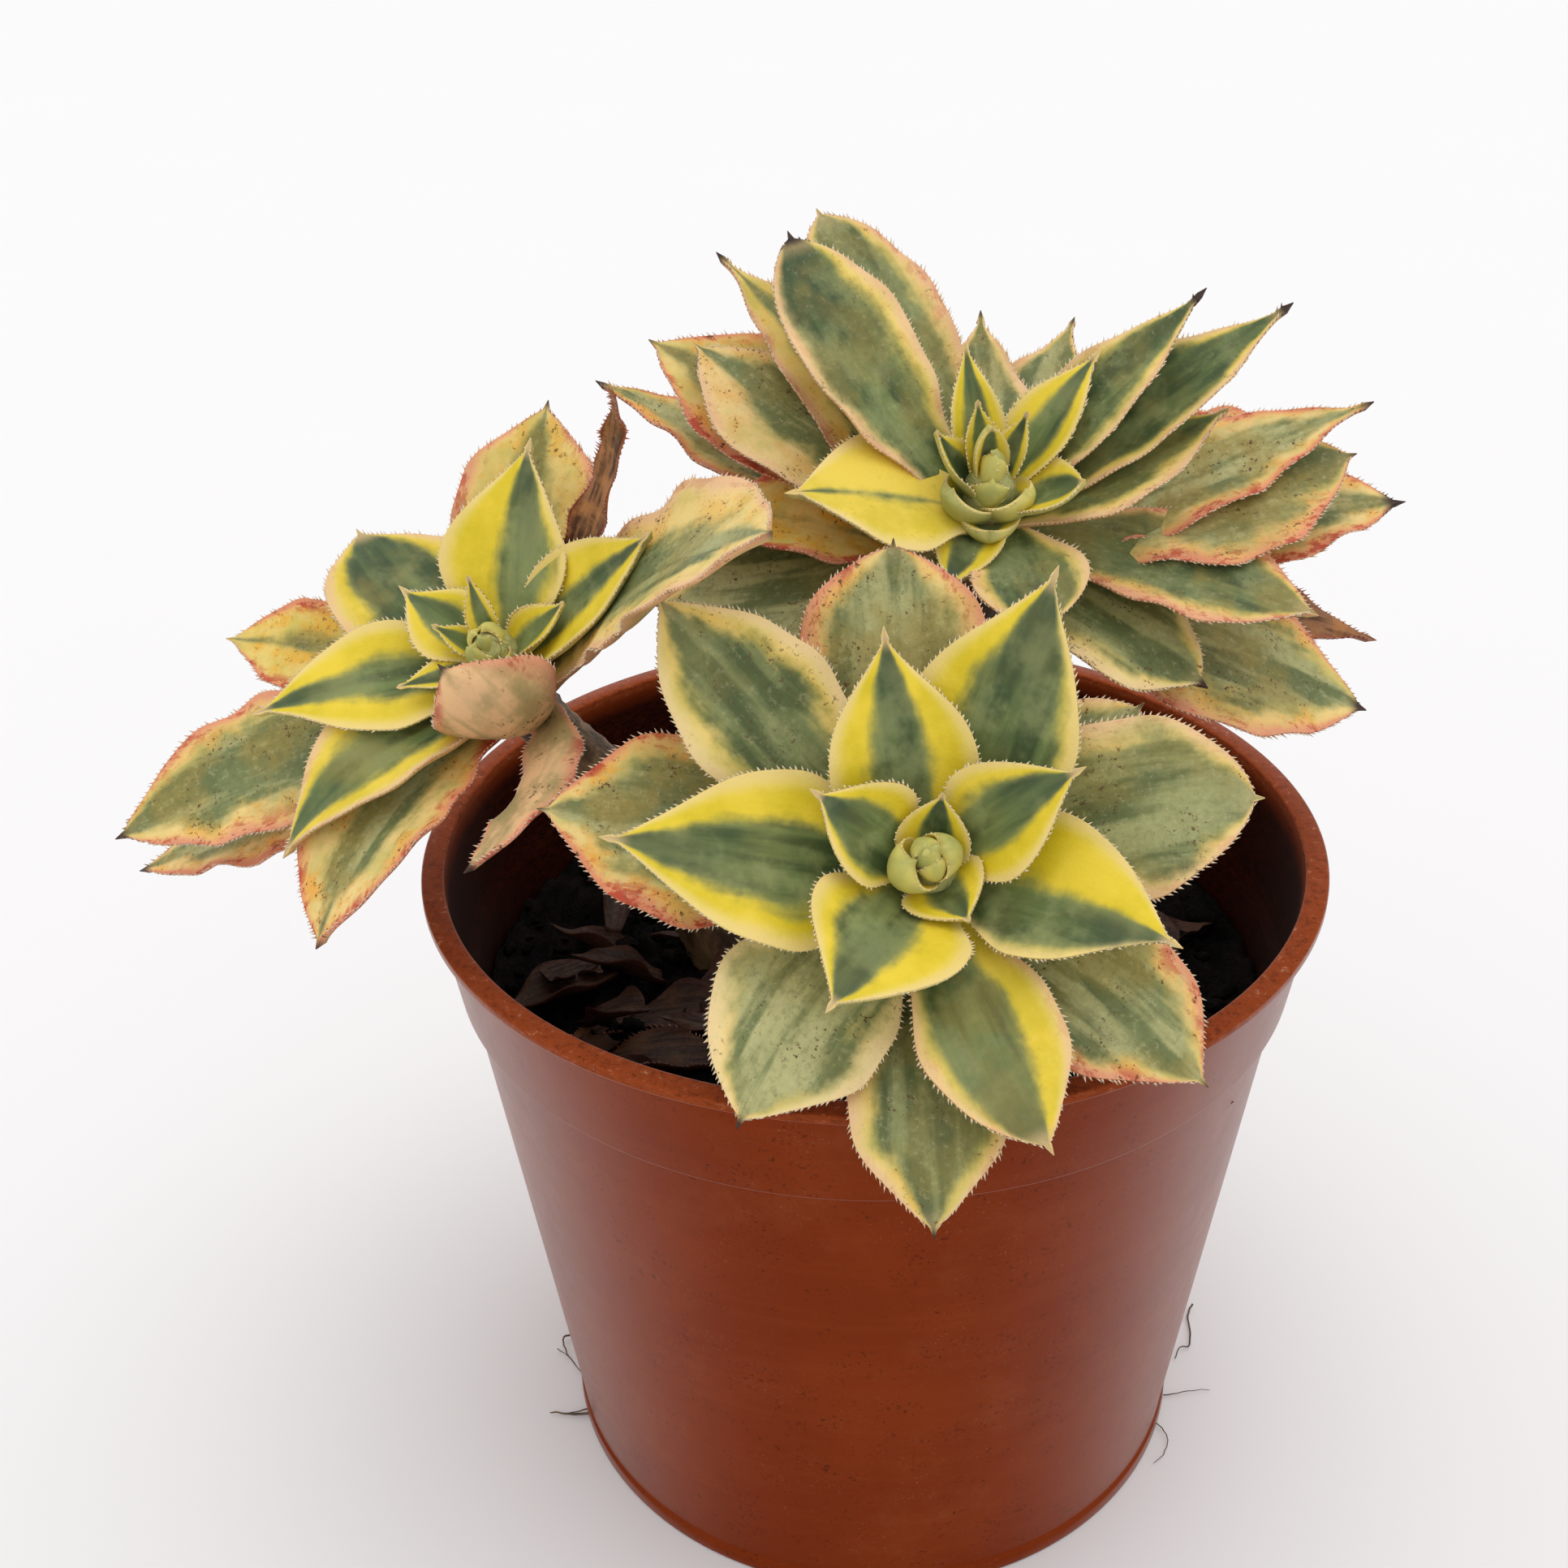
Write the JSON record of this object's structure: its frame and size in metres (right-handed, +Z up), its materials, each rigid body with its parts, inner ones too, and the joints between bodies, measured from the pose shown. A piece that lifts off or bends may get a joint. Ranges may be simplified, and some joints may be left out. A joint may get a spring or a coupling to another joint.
{
  "type": "potted rosette succulent",
  "caption": "Variegated rosette succulent with toothed fleshy leaves, growing in dark soil in a tapered terracotta-coloured nursery pot.",
  "frame": {"origin": "on the floor under the middle of the pot's base", "axes": "+Z up along the pot's axis; -Y is the front, the side the plant leans towards; +X is to the right seen from the front"},
  "size_m": [0.1455, 0.1126, 0.1502],
  "materials": {
    "pot": "satin, lightly scuffed",
    "soil": "matt, crumbly",
    "shoot": "satin, scarred",
    "leaf_young": "satin, yellow and grey-green",
    "leaf_green": "satin, grey-green with a cream margin",
    "leaf_pale": "satin, pale green and cream",
    "leaf_rose": "satin, cream and rose",
    "leaf_dry": "matt, dry and wrinkled"
  },
  "bodies": {
    "root": {"pot": "pot", "soil": "soil", "front_shoot": "shoot", "back_shoot": "shoot", "left_shoot": "shoot", "front_leaf_01": "leaf_young", "front_leaf_02": "leaf_young", "front_leaf_03": "leaf_young", "front_leaf_04": "leaf_young", "front_leaf_05": "leaf_young", "front_leaf_06": "leaf_young", "front_leaf_07": "leaf_young", "front_leaf_08": "leaf_green", "front_leaf_09": "leaf_green", "front_leaf_10": "leaf_green", "front_leaf_11": "leaf_green", "front_leaf_12": "leaf_pale", "front_leaf_13": "leaf_pale", "front_leaf_14": "leaf_pale", "front_leaf_15": "leaf_pale", "front_leaf_16": "leaf_pale", "back_leaf_01": "leaf_young", "back_leaf_02": "leaf_young", "back_leaf_03": "leaf_green", "back_leaf_04": "leaf_green", "back_leaf_05": "leaf_green", "back_leaf_06": "leaf_green", "back_leaf_07": "leaf_green", "back_leaf_08": "leaf_green", "back_leaf_09": "leaf_pale", "back_leaf_10": "leaf_green", "back_leaf_11": "leaf_green", "back_leaf_12": "leaf_pale", "back_leaf_13": "leaf_pale", "back_leaf_14": "leaf_pale", "back_leaf_15": "leaf_rose", "back_leaf_16": "leaf_pale", "back_leaf_17": "leaf_rose", "back_leaf_18": "leaf_rose", "back_leaf_19": "leaf_pale", "back_leaf_20": "leaf_rose", "back_leaf_21": "leaf_rose", "back_leaf_22": "leaf_dry", "back_leaf_23": "leaf_rose", "left_leaf_01": "leaf_young", "left_leaf_02": "leaf_young", "left_leaf_03": "leaf_young", "left_leaf_04": "leaf_young", "left_leaf_05": "leaf_rose", "left_leaf_06": "leaf_dry", "left_leaf_07": "leaf_green", "left_leaf_08": "leaf_green", "left_leaf_09": "leaf_pale", "left_leaf_10": "leaf_pale", "left_leaf_11": "leaf_pale", "left_leaf_12": "leaf_pale", "left_leaf_13": "leaf_rose", "left_leaf_14": "leaf_rose", "left_leaf_15": "leaf_rose", "fallen_leaf": "leaf_dry"}
  },
  "joints": []
}
